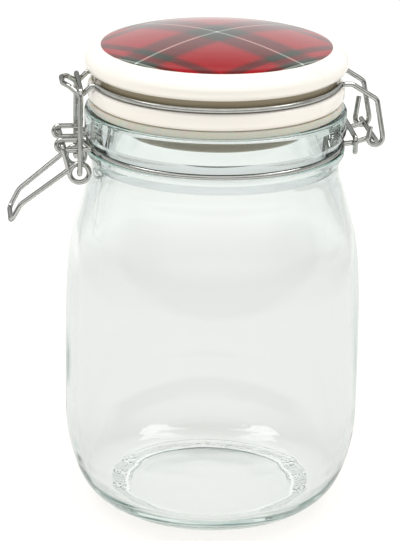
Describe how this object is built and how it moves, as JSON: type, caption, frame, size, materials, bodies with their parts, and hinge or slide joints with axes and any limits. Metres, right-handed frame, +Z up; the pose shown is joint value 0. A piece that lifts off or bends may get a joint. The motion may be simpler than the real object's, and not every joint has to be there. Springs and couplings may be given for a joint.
{
  "type": "storage jar",
  "caption": "Round clear glass clip-top storage jar with a glazed ceramic lid printed in a check, a rubber seal, and a bent-wire hinge and lever latch.",
  "frame": {"origin": "centre of the jar's base, on its axis, on the surface it stands on", "axes": "+Z up along the jar's axis, -X towards the lever latch, +X towards the hinge, every pivot parallel to Y"},
  "size_m": [0.1367, 0.1108, 0.181],
  "materials": {
    "glass": "clear, pale grey-green",
    "seal": "matt",
    "glaze": "glossy glaze over ceramic, with a printed check",
    "wire": "bright plated wire"
  },
  "bodies": {
    "jar": {"glass_jar": "glass", "neck_ring": "wire"},
    "cover": {"lid": "glaze", "gasket": "seal", "lid_wire": "wire"},
    "lever": {"lever": "wire"},
    "link": {"link": "wire"}
  },
  "joints": [
    {"name": "lid_hinge", "type": "hinge", "parent": "jar", "child": "cover", "pos_m": [0.057, 0, 0.14333], "axis": [0, 1, 0], "range_deg": [0, 180]},
    {"name": "lever_pivot", "type": "hinge", "parent": "jar", "child": "lever", "pos_m": [-0.0566, 0, 0.14233], "axis": [0, 1, 0], "range_deg": [0, 120]},
    {"name": "link_pivot", "type": "hinge", "parent": "lever", "child": "link", "pos_m": [-0.0505, 0, 0.13242], "axis": [0, 1, 0], "range_deg": [-120, 0]}
  ],
  "couplings": [
    {"joint": "lever_pivot", "follows": "lid_hinge", "ratio": 0.66666},
    {"joint": "link_pivot", "follows": "lid_hinge", "ratio": -0.66666}
  ]
}
